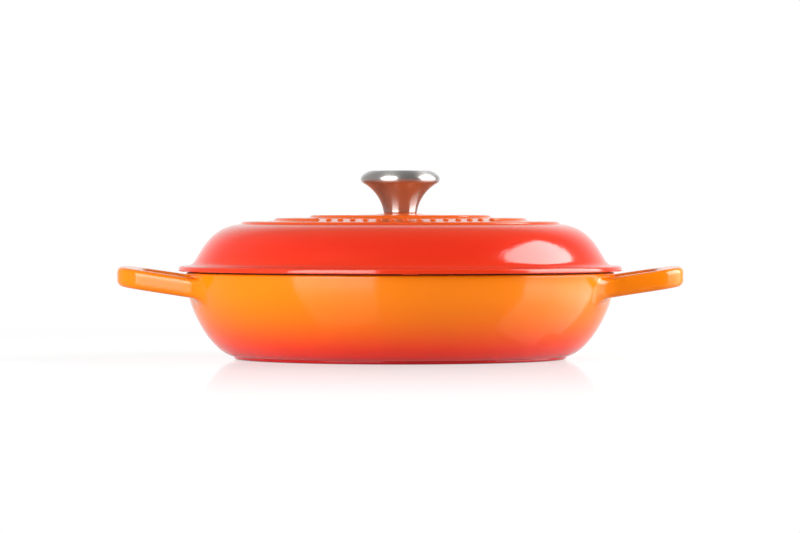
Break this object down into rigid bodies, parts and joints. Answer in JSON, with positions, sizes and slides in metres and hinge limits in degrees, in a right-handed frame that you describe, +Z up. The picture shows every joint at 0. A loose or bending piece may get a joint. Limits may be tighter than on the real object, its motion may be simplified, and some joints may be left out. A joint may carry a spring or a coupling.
{
  "type": "braiser",
  "caption": "Shallow round enamelled cast-iron braiser with loop handles and a domed, ridged lid that lifts off by a flared steel knob.",
  "frame": {"origin": "on the pan's axis, on the plane that its foot ring stands on", "axes": "+X along the line through both handles, +Y towards the back, +Z up along the pan's axis"},
  "size_m": [0.395, 0.3102, 0.1318],
  "materials": {
    "pan_enamel": "gloss enamel, orange at the rim shading to red at the foot, pale inside",
    "lid_enamel": "gloss enamel, red on the side shading to orange on the crown, pale inside",
    "knob_steel": "satin",
    "fastener_steel": "satin"
  },
  "bodies": {
    "pan": {"pan": "pan_enamel"},
    "lid": {"lid": "lid_enamel", "knob_body": "knob_steel", "knob_cap": "knob_steel", "knob_insert": "fastener_steel", "knob_screw": "fastener_steel", "knob_washer": "fastener_steel", "knob_lock_washer": "fastener_steel"}
  },
  "joints": [
    {"name": "lid_lift", "type": "slide", "parent": "pan", "child": "lid", "axis": [0, 0, 1], "range_m": [0, 0.15]}
  ]
}
